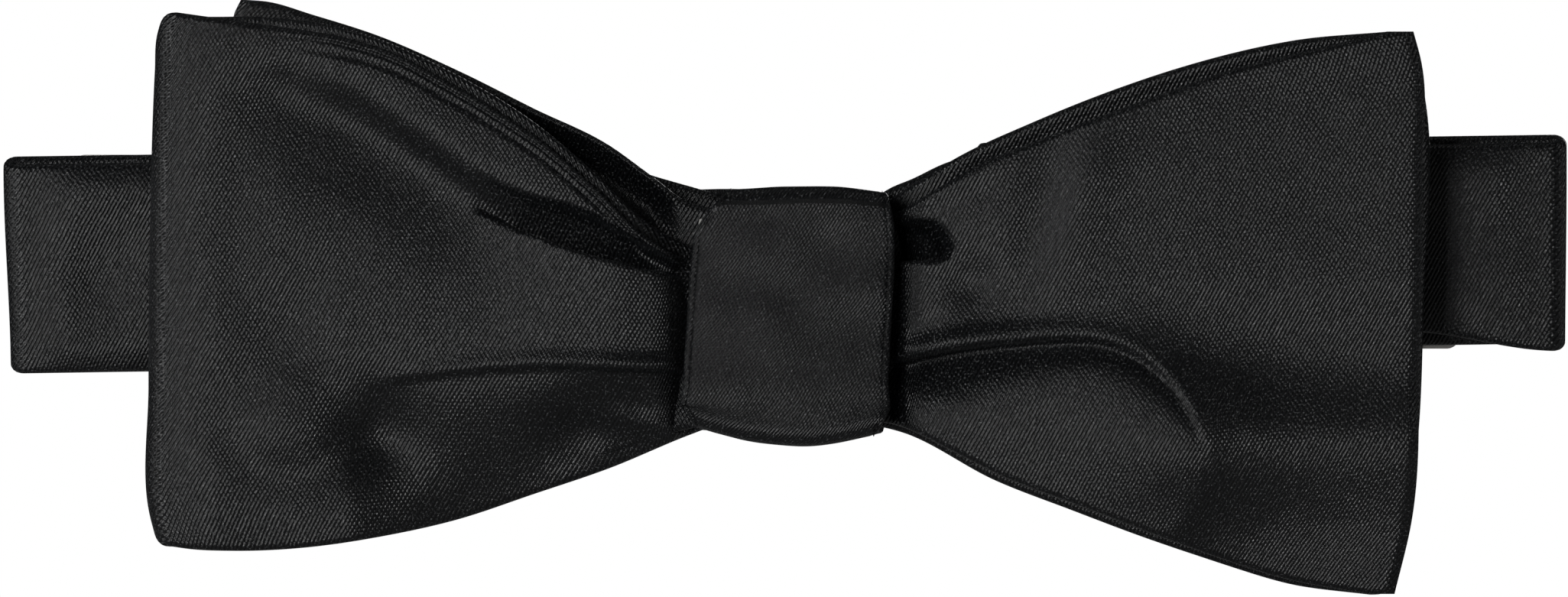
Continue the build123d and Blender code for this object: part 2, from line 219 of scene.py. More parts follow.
frontBlade = {
    "name": "frontBlade",
    "side": -1,  # where its loop is
    "reachLoop": [(0, 0.7), (0.05, 0.1), (0.3, 0), (0.6, 0.15), (0.9, 0.6), (0.97, 0.8), (1, 1.2)],
    "reachEnd": [(0, 2.6), (0.12, 1.1), (0.4, 0.3), (0.75, 0), (0.95, 0.2), (1, 0.9)],
    "foldAt": -60.0,
    "endAt": 60.05,
    "columns": 108,
    "cornerDrop": 0.8,
    "top": [
        (-58.4, 28.5), (-57, 28.3), (-52.5, 27.7), (-47, 27), (-41.4, 26.1), (-36.7, 24.6), (-32, 22.1),
        (-27.3, 19.3), (-22.6, 16.1), (-17.8, 11.9), (-13.1, 7.4), (-9, 5.2), (-5, 5.5), (5, 8.6),
        (10.4, 9.6), (14.3, 11.9), (19, 14.6), (22.4, 15.9), (28.5, 18.3), (33.2, 20), (42.6, 23.2),
        (52, 25.4), (57.5, 26.7),
    ],
    "bottom": [
        (-58.4, -21.8), (-57, -22), (-52.6, -22.2), (-45.4, -21.9), (-38.2, -20.9), (-30.9, -19.3),
        (-23.7, -16.9), (-16.4, -14.4), (-9.2, -11.4), (-5, -9.9), (5, -9.9), (10.5, -10.4), (16.1, -13),
        (19.8, -14.9), (27, -17.7), (34.2, -20.4), (41.5, -22.8), (48.7, -24.8), (57.5, -26.3),
    ],
    "backTop": [
        (-58.4, 28.3), (-57, 28.2), (-50, 28.1), (-41.4, 27), (-32, 23.2), (-22.6, 17.4), (-17.8, 13.3),
        (-13.1, 8.8), (-9, 6.6), (0, 6.4),
    ],
    "backBottom": [(-58.4, -21.7), (-57, -21.8), (-38.2, -20.2), (-23.7, -16), (-9.2, -10.8), (0, -9.8)],
    "backHeight": [(-58.4, 6.9), (-55, 6.7), (-30, 6.5), (0, 6.7)],
    "backLean": [(-54, 0), (-46, 1.6), (-38, 2.9), (-24, 3), (-14, 2.7), (-10.5, 0.9), (-8, 0)],
}

backBlade = {
    "name": "backBlade",
    "side": 1,
    "reachLoop": [(0, 2.6), (0.12, 1.4), (0.3, 0.4), (0.5, 0), (0.9, 0), (1, 1.2)],
    "reachEnd": [(0, 0), (0.94, 0), (0.97, 0.2), (1, 0.9)],
    "foldAt": 60.3,
    "endAt": -52.3,
    "columns": 64,
    "cornerDrop": 0.6,
    "top": [
        (-52, 29.8), (-49.7, 29.6), (-45.4, 28.4), (-38.2, 26.2), (-30.9, 23.1), (-23.7, 19.5),
        (-16.4, 15.9), (-12.8, 13.3), (-9, 10.6), (-5, 10), (5, 10), (9.5, 10.8), (12.5, 12.6),
        (16.1, 14.8), (23.4, 18.2), (30.6, 21.1), (41.5, 24.5), (48.7, 25.9), (57.8, 26.7),
    ],
    "bottom": [
        (-52, -20), (-38.2, -18.9), (-23.7, -15.4), (-9.2, -10.4), (-5, -10), (5, -10), (11.1, -11.1),
        (19.8, -15.6), (27, -18.4), (34.2, -21.1), (41.5, -23.5), (48.7, -25.3), (57.8, -26.4),
    ],
    "backTop": [(0, 9.6), (9.5, 10.4), (16.1, 14.2), (30.6, 20.6), (41.5, 24.1), (57.8, 26.6)],
    "backBottom": [(0, -9.8), (11.1, -10.8), (27, -18), (41.5, -23.1), (57.8, -26.2)],
    "backHeight": [(0, 3.75), (20, 3.8), (57.8, 3.8)],
    "backLean": [(0, 0), (57.8, 0)],
}

# the folds of each wing's face, by distance from the knot's middle: where each runs, how deep and how soft
leftFolds = {
    "face": [
        (0, 8.8), (7.5, 8.85), (9.7, 9), (10.4, 10.6), (11.2, 11.2), (14, 11.9), (20, 12.3), (30, 12.2),
        (45, 12.2), (51, 12.22), (54, 12.1), (56.3, 11.75), (58.4, 11.3),
    ],
    "lipLine": [
        (8.5, 4.2), (9.2, 4.6), (12, 6.2), (14.5, 7.6), (17.8, 9.6), (20.4, 10.6), (24, 11.5), (28, 13.3),
        (31.6, 15.7), (35.3, 18.2), (39.6, 20.9), (43.2, 22.6), (48, 24),
    ],
    "panelLine": [(8.5, 3.1), (9.2, 3.3), (14.5, 4.8), (20.4, 6.4), (22.2, 7.1), (27.6, 9.2), (30, 10.4)],
    "wedgeDepth": [(8, 1), (9.4, 2), (12, 3.6), (20, 3.8), (24, 2.6), (27, 1.2), (29.5, 0)],
    "stepDepth": [(8, 0), (18, 0), (24, 0.9), (30, 1.9), (36, 2.3), (42, 2.1), (47, 1.3), (52, 0.4), (56, 0)],
    "stepWidth": [(18, 0.9), (27, 1.3), (35, 1.7), (46, 2)],
    "creaseLine": [(9.5, -5.35), (14, -5.2), (23.7, -4.95), (30, -5.4), (36.7, -6.3), (40, -7.2)],
    "creaseDepth": [(8, 0), (9.4, 1.5), (12, 1.9), (20, 1.1), (27, 0.7), (34, 0.45), (40, 0)],
    "lowerTilt": [(8, 0.08), (12, 0.34), (22, 0.30), (30, 0.27), (36, 0.12), (41, 0)],
}
rightFolds = {
    "face": [
        (0, 8.8), (7.5, 8.85), (10.5, 9), (11.2, 10.5), (12, 11), (14, 11.5), (19, 12.1), (30, 12.5),
        (45, 12.2), (60, 11.7),
    ],
    "hole": {"right": 16.1, "top": 9.0, "bottom": 5.2, "depth": 4.6},
    "creaseLine": [
        (10.2, -4.6), (13, -3.9), (16.1, -3.3), (23.4, -2.55), (27, -2.4), (30.6, -2.8), (34.2, -4.6),
        (37.1, -7.6), (39.3, -12), (40.8, -17.2),
    ],
    "creaseDepth": [(8, 0), (9.4, 2), (13, 2.9), (20, 2.4), (27, 1.5), (32, 1), (36, 0.7), (40.5, 0)],
    "creaseFade": [(10, 3.2), (18, 3), (24, 1.9), (36, 1.2)],
}


def under(z, line, crisp):
    # 1 below a line and 0 above it
    return 0.5 * (1 + np.tanh((line - z) / crisp))


def leftOpening(d, z, folds=leftFolds):
    # under the lip the cloth runs back, from 0 at the lip to 1 at the panel's edge
    lip, panel = smoothLine(folds["lipLine"], d), smoothLine(folds["panelLine"], d)
    share = np.clip((lip - z) / np.maximum(lip - panel, 0.3), 0, 1)
    return (0.45 * ramp(share, 0, 0.3) + 0.55 * share) * (1 - under(z, panel, 0.09)) * (d < 29.5)


def rightOpening(d, z, hole=rightFolds["hole"]):
    # beside the knot the cloth runs back too, down to a crisp lower edge
    drop = np.clip((hole["top"] - z) / (hole["top"] - hole["bottom"]), 0, 1)
    across = 1 - ramp(d + 2.0 * (1 - drop) ** 2 + 0.8 * drop**6, hole["right"] - 1.3, hole["right"])
    return across * (0.6 * ramp(drop, 0, 0.25) + 0.4 * drop) * (1 - under(z, hole["bottom"], 0.09))


def tuckUnder(x, z):
    # how far the cloth in those openings slips down behind the edge below it
    left = leftOpening(-x, z) * (x < 0) * np.clip(smoothLine(leftFolds["wedgeDepth"], -x) / 2, 0, 1)
    return 0.75 * (left * ramp(-x, 10.5, 13) + rightOpening(x, z) * (x > 0)) ** 4


def leftFaceHeight(d, z, folds=leftFolds):
    height = smoothLine(folds["face"], d)
    lip = smoothLine(folds["lipLine"], d)
    height -= smoothLine(folds["wedgeDepth"], d) * leftOpening(d, z)
    # further out the lip is a soft step, and the face swells out again below it
    step = smoothLine(folds["stepDepth"], d) * under(z, lip - 1.6, smoothLine(folds["stepWidth"], d))
    height -= step * (0.3 + 0.7 * np.exp(-((np.maximum(lip - 1.6 - z, 0) / 9) ** 2)))
    crease = smoothLine(folds["creaseLine"], d)
    depth = smoothLine(folds["creaseDepth"], d)
    # below the crease the cloth steps back and leans away towards its lower edge
    belowCrease = np.maximum(crease - z, 0)
    height -= depth * under(z, crease, 0.15)
    height -= smoothLine(folds["lowerTilt"], d) * (belowCrease + 1.2 * (np.exp(-belowCrease / 1.2) - 1))
    height += 0.25 * depth * bell(z - crease - 0.6, 0.6)
    # the crease's outer end curls down round a soft pit
    pit = np.hypot((d - 38.2) / 1.1, (z + 11.2) / 1.2)
    height -= 2.0 * bell(pit, 2.7)
    height -= 0.5 * bell(d - 46.0, 4.2) * bell(z + 15.2 - 0.07 * (d - 46.0) ** 2, 1.8)
    height += 0.3 * bell(d - 46.5, 3.0) * bell(z + 9.8, 3.0)
    height -= 1.3 * bell(d - 19.4, 2.9) * bell(z + 10.6 + 0.35 * (d - 19.4), 2.3)
    height += 0.5 * bell(d - 14.0, 3.6) * bell(z + 10.0 - 0.28 * (d - 14.0), 0.9)
    # a shallow trough parallel to the loop's fold
    arch = d - 51.8 + 0.026 * (z - 9) ** 2
    height -= 0.32 * bell(arch, 2.3) * ramp(z, -7, 1) * (1 - ramp(z, 21, 27))
    height -= 0.25 * bell(d - 51.6 + 0.02 * (z + 10) ** 2, 2.0) * (1 - ramp(z, -8, 0))
    height -= 0.35 * bell(d - 48 + 0.55 * (z + 4), 2.4) * bell(z + 1.5, 5.5)
    height -= 0.8 * ramp(np.abs(z - 2.5) / (6 + 0.4 * d), 0.55, 1.3)
    return height


def rightFaceHeight(d, z, folds=rightFolds):
    height = smoothLine(folds["face"], d)
    crease = smoothLine(folds["creaseLine"], d)
    depth = smoothLine(folds["creaseDepth"], d)
    below = np.maximum(crease - z, 0)
    height -= depth * under(z, crease, 0.15) * np.exp(-((below / smoothLine(folds["creaseFade"], d)) ** 1.4))
    height += 0.22 * depth * bell(z - crease - 0.8, 0.8)
    height -= folds["hole"]["depth"] * rightOpening(d, z)
    # a soft fold runs on from the hole
    height -= 0.7 * bell(d - 17.4, 1.8) * bell(z - 3.0, 1.9)
    height += 0.45 * bell(z - 10.4 - 0.42 * (d - 11), 1.0) * ramp(d, 9.4, 13) * (1 - ramp(d, 16, 24))
    # the puff under the arched crease faces left, and past it the cloth falls away to the right
    puff = d - 39.8 + 0.05 * (z + 12) ** 2
    height += 2.2 * np.exp(-0.5 * (np.minimum(puff, 0) / 7.5) ** 2) * bell(z + 11.5, 4.6)
    fall = 0.5 * (puff + np.sqrt(puff**2 + 0.3))
    height -= 2.7 * (1 - np.exp(-fall / 9.0)) * ramp(-z, -4, 10)
    height -= 0.5 * bell(d - 24.2 - 0.25 * (z - 11), 1.5) * bell(z - 11, 6.0)
    height += 0.45 * bell(d - 28.2 - 0.25 * (z - 11), 1.8) * bell(z - 11, 6.0)
    height -= 0.7 * ramp(np.abs(z) / (6 + 0.42 * d), 0.6, 1.3)
    return height


def frontHeights(x, z):
    # the outside of the front blade's face, both wings, joined under the knot
    right = ramp(x, -4, 4)
    height = (1 - right) * leftFaceHeight(np.abs(x), z) + right * rightFaceHeight(np.abs(x), z)
    # the piped edge of the left wing: two fine grooves beside its rolled top
    inset = smoothLine(frontBlade["top"], x) - z
    piped = (1 - right) * ramp(np.abs(x), 8, 11) * (1 - ramp(np.abs(x), 40, 50))
    height -= piped * (0.3 * bell(inset - 0.75, 0.13) + 0.34 * bell(inset - 1.55, 0.18))
    return height + 0.10 * clouds(x, z, 9.0, 1.7) + 0.05 * clouds(x, z, 4.0, 5.1)


def backHeights(x, z):
    line = [(-52, 5.1), (-30, 5.2), (-9, 5.8), (9, 5.8), (14, 6.4), (30, 8.2), (45, 9.0), (58, 9.1)]
    height = smoothLine(line, x) + 0.12 * clouds(x, z, 10.0, 8.3)
    # left of the knot it hollows behind the front blade's lip, and its top edge leans forward
    top = smoothLine(backBlade["top"], x)
    near = ramp(-x, 9.5, 13) * (1 - ramp(-x, 20, 30))
    height -= 1.5 * near * bell(z - top + 3.4, 1.5)
    height += near * ramp(z - top, -1.7, -0.4)
    # right of it, it stays clear of the front blade's fallen corner, and its top edge leans forward
    height -= 2.3 * ramp(x, 32, 46) * ramp(-z, -4, 9)
    return height + 0.45 * ramp(x, 12, 18) * ramp(z - top, -2.4, -0.4)


def bladeGrids(blade, heights):
    # the blade's middle surface as one grid: rows along the blade, columns from its lower edge to its upper
    side = blade["side"]
    foldX = blade["top"][-1][0] if side > 0 else blade["top"][0][0]
    half = cloth["half"]
    endX = blade["endAt"]
    low, high = min(foldX, endX), max(foldX, endX)
    frontX = np.linspace(low, high, int((high - low) / cloth["rowStep"]) + 1)
    count = blade["columns"]
    insets = cloth["edgeInsets"]

    frontBottom, frontTop = smoothLine(blade["bottom"], frontX), smoothLine(blade["top"], frontX)
    z = columnsBetween(frontBottom, frontTop, insets, count)
    share = (z - frontBottom[:, None]) / (frontTop - frontBottom)[:, None]
    x = np.broadcast_to(frontX[:, None], z.shape)
    loopPull = side * smoothLine(blade["reachLoop"], share) * ramp(side * x, 38, side * foldX)
    endPull = -side * smoothLine(blade["reachEnd"], share) * ramp(-side * x, 30, -side * endX)
    x = x - loopPull - endPull
    detail = heights(x, z)
    calm = lowered(detail, 3, 5)
    front = np.stack([x, half - calm, z], axis=-1)
    tuck = tuckUnder(x, z) if side < 0 else np.zeros_like(z)
    extra = np.stack([np.zeros_like(z), calm - detail, -tuck], axis=-1)

    backX = np.linspace(0, foldX, 60)
    bottom, top = smoothLine(blade["backBottom"], backX), smoothLine(blade["backTop"], backX)
    zBack = columnsBetween(bottom, top, insets, count)
    shareBack = (zBack - bottom[:, None]) / (top - bottom)[:, None]
    xBack = np.broadcast_to(backX[:, None], zBack.shape)
    xBack = xBack - side * smoothLine(blade["reachLoop"], shareBack) * ramp(side * xBack, 38, side * foldX)
    yBack = -smoothLine(blade["backHeight"], backX)[:, None] + 0.15 * clouds(xBack, zBack, 12.0, 3.3)
    # the return ply's upper edge leans forward, close behind the front ply's
    yBack = yBack - smoothLine(blade["backLean"], backX)[:, None] * ramp(zBack - top[:, None], -6.0, -1.0)
    back = np.stack([xBack, yBack, zBack], axis=-1)

    # the loop's fold is a half ellipse from the back run to the front run
    reach = side * (blade["foldAt"] - foldX) - half
    turn = np.linspace(0, math.pi, 16)[1:-1][:, None]
    part = ((1 - np.cos(turn)) / 2)[..., None]
    fold = back[-1] * (1 - part) + front[-1 if side > 0 else 0] * part
    fold[..., 0] += side * reach * np.sin(turn)
    shareFold = shareBack[-1]
    fold[..., 2] -= blade["cornerDrop"] * np.sin(turn) ** 4 * (shareFold**8 - (1 - shareFold) ** 8)

    none = [np.zeros_like(back), np.zeros_like(fold)]
    if side < 0:
        middle = np.concatenate([back, fold, front])
        extra = np.concatenate([*none, extra])
        faceRows = slice(len(back) + len(fold), None)
    else:
        middle = np.concatenate([front, fold[::-1], back[::-1]])
        extra = np.concatenate([extra, none[1], none[0]])
        faceRows = slice(0, len(front))
    inset = np.minimum(middle[..., 2] - middle[:, :1, 2], middle[:, -1:, 2] - middle[..., 2])
    return middle, extra, np.abs(inset), faceRows


def makeBlade(blade, heights):
    name = blade["name"]
    middle, extra, inset, faceRows = bladeGrids(blade, heights)
    normal = gridNormals(middle)
    # the face counts its thickness straight back from the viewer, so its sharp folds stay clean
    normal[faceRows] = (0, -1, 0)
    half, silk = cloth["half"], cloth["silk"]
    thickness = 0.07 + (half - 0.07) * rollProfile(inset, half) / half
    near = np.minimum(thickness - 0.04, np.maximum(thickness - silk, 0.03))
    # a sewn end's two plies are turned in and meet
    rows = len(middle)
    fromEnd = np.arange(rows)[::-1] if blade["side"] < 0 else np.arange(rows)
    close = ramp(fromEnd * cloth["rowStep"], -0.3, 1.1)[:, None]
    thickness = 0.07 + (thickness - 0.07) * close
    near = np.minimum(near, thickness - 0.04)
    follow = (1 - ramp(inset, 0.5, 2.2))[..., None]
    outside = middle + normal * thickness[..., None] + extra
    # the weave runs straight on over the openings in the face
    flat = middle.copy()
    flat[faceRows, :, 1] = flat[faceRows, flat.shape[1] // 2, 1][:, None]
    uv = gridUv(middle, flat + normal * thickness[..., None])
    outer = shell(name + "OuterSilk", outside, middle + normal * near[..., None] + extra, uv)
    lift = extra * follow
    inner = shell(
        name + "InnerSilk",
        middle - normal * near[..., None] + lift,
        middle - normal * thickness[..., None] + lift,
        uv,
    )
    keep = inset[rows // 2] > cloth["coreInset"]
    rowKeep = np.arange(0, rows, 2)[2:] if blade["side"] > 0 else np.arange(0, rows, 2)[:-2]
    columnKeep = np.flatnonzero(keep)[::2]
    pick = np.ix_(rowKeep, columnKeep)
    core = middle[pick]
    coreNormal = normal[pick] * cloth["coreHalf"]
    interlining = shell(name + "Interlining", core + coreNormal, core - coreNormal, uv[pick])
    return outer, inner, interlining


# the knot: one strip of silk wrapped round the gathered middle

knot = {
    "half": 0.46,
    "wall": 0.2,
    "front": 12.6,
    "top": 11.95,
    "bottom": -12.1,
    "corner": 1.35,
    "leftEdge": [
        (-12, -8.4), (-10.8, -9.4), (-6, -9.55), (0, -9.2), (6, -8.75), (8.4, -8.35), (10.2, -6.9),
        (11.6, -5.6),
    ],
    "rightEdge": [(-12, 8.6), (-10.6, 9.5), (-6, 9.75), (0, 10.05), (5, 10.3), (9.5, 10.15), (11.6, 9.7)],
    "hemInset": 0.62,
}


def ringPath(front, top, bottom, corner, step):
    # a rounded rectangle on YZ, clockwise seen from +X: up the front, back over the top and down the back
    points = []
    corners = (
        (-front + corner, top - corner, 180, 90),
        (-corner, top - corner, 90, 0),
        (-corner, bottom + corner, 0, -90),
        (-front + corner, bottom + corner, -90, -180),
    )
    for y, z, start, finish in corners:
        for angle in np.radians(np.linspace(start, finish, 9)):
            points.append((y + corner * math.cos(angle), z + corner * math.sin(angle)))
    points = np.array(points)
    closed = np.concatenate([points, points[:1]])
    run = runLength(closed)
    places = np.arange(0, run[-1] - step * 0.5, step)
    return np.stack([np.interp(places, run, closed[:, 0]), np.interp(places, run, closed[:, 1])], axis=-1)


def makeKnot():
    half = knot["half"]
    top, bottom = knot["top"] - half, knot["bottom"] + half
    path = ringPath(knot["front"] - half, top, bottom, knot["corner"] - half, 0.4)
    for _ in range(2):  # ease the corners
        path = (np.roll(path, 1, axis=0) + 2 * path + np.roll(path, -1, axis=0)) / 4
    y, z = path[:, 0], path[:, 1]
    facing = ramp(-y, 6.5, 11.0)
    aside = ramp(-y, 0.4, 1.4)  # the back keeps its whole width
    left = -9.4 * (1 - aside) + smoothLine(knot["leftEdge"], z) * aside
    right = 9.4 * (1 - aside) + smoothLine(knot["rightEdge"], z) * aside
    x = columnsBetween(left, right, (0, 0.05, 0.14, 0.28, 0.42, 0.52, 0.62, 0.72, 0.84, 1.0), 44)
    inset = np.minimum(x - x[:, :1], x[:, -1:] - x)
    crown = 0.35 * (1 - (2 * (x - left[:, None]) / (right - left)[:, None] - 1) ** 2)
    crown = crown - 0.10 * bell(inset - knot["hemInset"], 0.13)
    outward = np.stack([np.zeros_like(y), y + 6.3, z], axis=-1)
    outward = outward / np.linalg.norm(outward, axis=1, keepdims=True)
    middle = np.stack(np.broadcast_arrays(x, y[:, None], z[:, None]), axis=-1)
    soft = crown * facing[:, None] + 0.3 * clouds(x, middle[..., 2], 4.6, 2.2) * facing[:, None]
    tilt = (-0.022 * x + 0.15) * (np.abs(z)[:, None] > 9) * ramp(np.abs(z), 8, 11)[:, None]
    middle = middle + outward[:, None, :] * (soft - 0.3)[..., None]
    middle[..., 2] += tilt
    # underneath it sags in front and is drawn up towards its back
    lift = 0.5 * (1 - ramp(-y, 3, 7)) - 0.35 * ramp(-y, 6, 9)
    ends = 0.016 * (x - 1.0) ** 2 * ramp(-y, 0.8, 2.4)[:, None]
    middle[..., 2] += ramp(-z, 8, 11)[:, None] * (lift[:, None] + ends)
    middle = middle[::-1]  # rows run down the front, so the sleeve faces outwards
    silk = sleeve("knotWrapSilk", middle, inset[::-1], half, knot["wall"], ring=True)
    return silk, middle, inset[::-1]


# the neckband: a folded tube of silk behind the bow, turned back on itself twice at each side

band = {
    "half": 0.6,
    "wall": 0.24,
    "height": 19.8,
    "centre": 5.4,
    "slope": 0.0142,  # the band climbs a little from left to right
    "leafRise": 0.75,
    "foldReach": 72.4,
    "innerFold": 20.0,
    "silkEnd": 26.5,
    "bandY": -1.8,
    "leafY": 0.2,
    "strapY": 2.6,
    "edgeInsets": (0, 0.05, 0.14, 0.3, 0.5, 0.9),
    "columns": 26,
    "waistTopLeft": [
        (0, -4.9), (5.5, -4.5), (6.5, -3.8), (8, -3.3), (10, -2.7), (12, -2.1), (15, -1.1), (20, 0),
    ],
    "waistTopRight": [(0, -4.9), (8, -4.6), (10, -3.4), (12, -2.6), (15, -1.2), (20, 0)],
    "waistBottom": [(0, -4.1), (9, -4.1), (20, 0)],
    "skirtRight": [(35, 0), (50, 2), (60, 2), (72, 0.1), (74, 0)],  # its lower edge rises beside the wing
}


def bandMiddle(side, x, y, rise):
    # the strip's middle surface at places along a route on XY
    root = 1 - ramp(y, -1.7, -0.6)
    reach = np.abs(x)
    waistTop = smoothLine(band["waistTopLeft"] if side < 0 else band["waistTopRight"], reach)
    centre = band["centre"] + band["slope"] * x + rise
    top = centre + band["height"] / 2 + waistTop * root
    bottom = centre - band["height"] / 2 + smoothLine(band["waistBottom"], reach) * root
    if side > 0:
        bottom = bottom + smoothLine(band["skirtRight"], reach) * root
    z = columnsBetween(bottom, top, band["edgeInsets"], band["columns"])
    inset = np.minimum(z - z[:, :1], z[:, -1:] - z)
    return np.stack(np.broadcast_arrays(x[:, None], y[:, None], z), axis=-1), inset


def halfTurn(cx, cy, radius, bulge, steps=14):
    # half way round an upright fold or bar, from its front to its back
    angle = np.radians(np.linspace(-90, 90, steps))
    return cx + bulge * radius * np.cos(angle), cy + radius * np.sin(angle)


def makeCore(name, middle, inset, half, keepInset, ring=False):
    # the interlining inside a strip, set in from its edges
    columns = np.flatnonzero(inset.min(axis=0) > keepInset)[::2]
    rows = np.arange(0, len(middle), 2)
    if ring:
        rows = np.concatenate([rows, rows[:1]])
    pick = np.ix_(rows, columns)
    normal = gridNormals(middle)[pick] * half
    core = middle[pick]
    return shell(name, core + normal, core - normal, gridUv(core, core))


def makeBandPieces(side):
    word = "left" if side < 0 else "right"
    axisY = (band["bandY"] + band["leafY"]) / 2
    innerY = (band["leafY"] + band["strapY"]) / 2
    join = (band["foldReach"] + band["innerFold"]) / 2
    root = np.linspace(0.0, band["foldReach"], 130)
    foldX, foldY = halfTurn(band["foldReach"], axisY, band["leafY"] - axisY, 1)
    leaf = np.linspace(band["foldReach"], join, 30)
    x = np.concatenate([root, foldX[1:-1], leaf]) * side
    y = np.concatenate([np.full(len(root), band["bandY"]), foldY[1:-1], np.full(len(leaf), band["leafY"])])
    rise = band["leafRise"] * ramp(y, band["bandY"], band["leafY"])
    first, firstInset = bandMiddle(side, x, y, rise)
    # the fold leans inwards towards its lower edge, and the visible stretch ripples
    lean = ramp(-first[..., 2], -14, 6) * (0.7 if side < 0 else 0.15) * ramp(np.abs(first[..., 0]), 62, 72)
    first[..., 0] -= side * lean
    shown = ramp(np.abs(first[..., 0]), 50, 58) * (1 - ramp(np.abs(first[..., 0]), 67, 72))
    shown = shown * (1 - ramp(first[..., 1], -1.7, -1.0))
    ripple = clouds(first[..., 0], first[..., 2], 8.0, 4.4 + side)
    if side < 0:
        pucker = bell(first[..., 0] + 66 - 0.2 * first[..., 2], 2.2)
        ripple = ripple + 0.9 * pucker * bell(first[..., 2] - 4, 4.0)
    # it ripples forward only, clear of the cloth that bends round the fold
    first[..., 1] += (0.34 * ripple - (0.55 if side < 0 else 0.3)) * shown * (1 - bell(firstInset, 1.2))
    leafBack = np.linspace(join + 0.05, band["innerFold"], 40)
    turnX, turnY = halfTurn(band["innerFold"], innerY, band["strapY"] - innerY, -1)
    end = np.linspace(band["innerFold"], band["silkEnd"], 14)
    x2 = np.concatenate([leafBack, turnX[1:-1], end]) * side
    leafY, strapY = np.full(len(leafBack), band["leafY"]), np.full(len(end), band["strapY"])
    y2 = np.concatenate([leafY, turnY[1:-1], strapY])
    second, secondInset = bandMiddle(side, x2, y2, np.full(len(x2), band["leafRise"]))
    made = []
    for grid, inset, part in ((first, firstInset, "Band"), (second, secondInset, "Leaf")):
        if side < 0:
            grid, inset = grid[::-1], inset[::-1]
        silkPiece = sleeve(word + part + "Silk", grid, inset, band["half"], band["wall"])
        core = makeCore(word + part + "Interlining", grid, inset, 0.24, 0.85)
        made.append((silkPiece, core))
    return made


# the adjuster tape: grosgrain ribbons sewn into the silk ends

tape = {
    "half": 0.25,
    "start": 21.5,  # inside the silk end
    "barX": 58.0,
    "barY": 3.8,
    "barTurn": 1.2,
    "sliderX": 34.0,
    "sliderTurn": 0.825,
    "sewnGap": 0.07,  # from a tail to the tape it is sewn to
    "tailSlope": 5.0,
    "tailFlat": 6.0,
    "step": 0.25,
}


def tapeTail(x, y, toY, towards):
    # the turned-back end: it closes up to the stretch it is sewn to, then lies along it
    t = np.linspace(0, 1, 16)
    slopeX = x + towards * tape["tailSlope"] * t
    slopeY = y + (toY - y) * ramp(t, 0, 1)
    flatX = x + towards * (tape["tailSlope"] + np.linspace(0.5, tape["tailFlat"], 8))
    return np.concatenate([slopeX, flatX]), np.concatenate([slopeY, np.full(8, toY)])


def makeTape(name, xs, ys):
    # a ribbon standing on edge along a route on XY, ribbed along its length and thin at its two edges
    low, high = [corner[2] for corner in boxOf("right_tape")]
    run = np.concatenate([[0], np.cumsum(np.hypot(np.diff(xs), np.diff(ys)))])
    places = np.linspace(0, run[-1], int(run[-1] / tape["step"]) + 1)
    x, y = np.interp(places, run, xs), np.interp(places, run, ys)
    z = np.linspace(low, high, 19)
    middle = np.stack(np.broadcast_arrays(x[:, None], y[:, None], z[None, :]), axis=-1)
    half = tape["half"] * (0.86 + 0.14 * np.cos(math.tau * 12 * (z - low) / (high - low)))
    half[[0, -1]] = tape["half"] * 0.5
    normal = gridNormals(middle) * half[None, :, None]
    uv = np.stack([np.broadcast_to(places[:, None], middle.shape[:2]), arcAcross(middle)], axis=-1)
    return shell(name, middle + normal, middle - normal, uv)


def makeTapes():
    start, barX, barY, sliderX = tape["start"], tape["barX"], tape["barY"], tape["sliderX"]
    strapY, returnY = band["strapY"], barY + tape["barTurn"]
    sliderY = returnY - tape["sliderTurn"]
    reach = 2 * tape["half"] + tape["sewnGap"]
    turnX, turnY = halfTurn(-barX, barY, tape["barTurn"], -1)
    tailX, tailY = tapeTail(-barX, returnY, strapY + reach, 1)
    leftX = np.concatenate([np.linspace(-start, -barX, 60), turnX[1:], tailX[1:]])
    leftY = np.concatenate([np.full(60, strapY), turnY[1:], tailY[1:]])
    turnX, turnY = halfTurn(barX, barY, tape["barTurn"], 1)
    returnX = np.concatenate([turnX, [sliderX + 0.02]])
    returnYs = np.concatenate([turnY, [returnY]])
    turnX, turnY = halfTurn(sliderX, sliderY, tape["sliderTurn"], -1)
    tailX, tailY = tapeTail(sliderX, sliderY - tape["sliderTurn"], returnY - reach, 1)
    wrapX = np.concatenate([turnX[::-1], tailX[1:]])
    wrapY = np.concatenate([turnY[::-1], tailY[1:]])
    return (
        makeTape("leftTape", leftX, leftY),
        makeTape("rightTape", [start, barX - 0.02], [strapY, strapY]),
        makeTape("returnTape", returnX, returnYs),
        makeTape("sliderTape", wrapX, wrapY),
    )


# sewing thread

thread = {"radius": 0.17, "stitch": 1.5, "sides": 8}


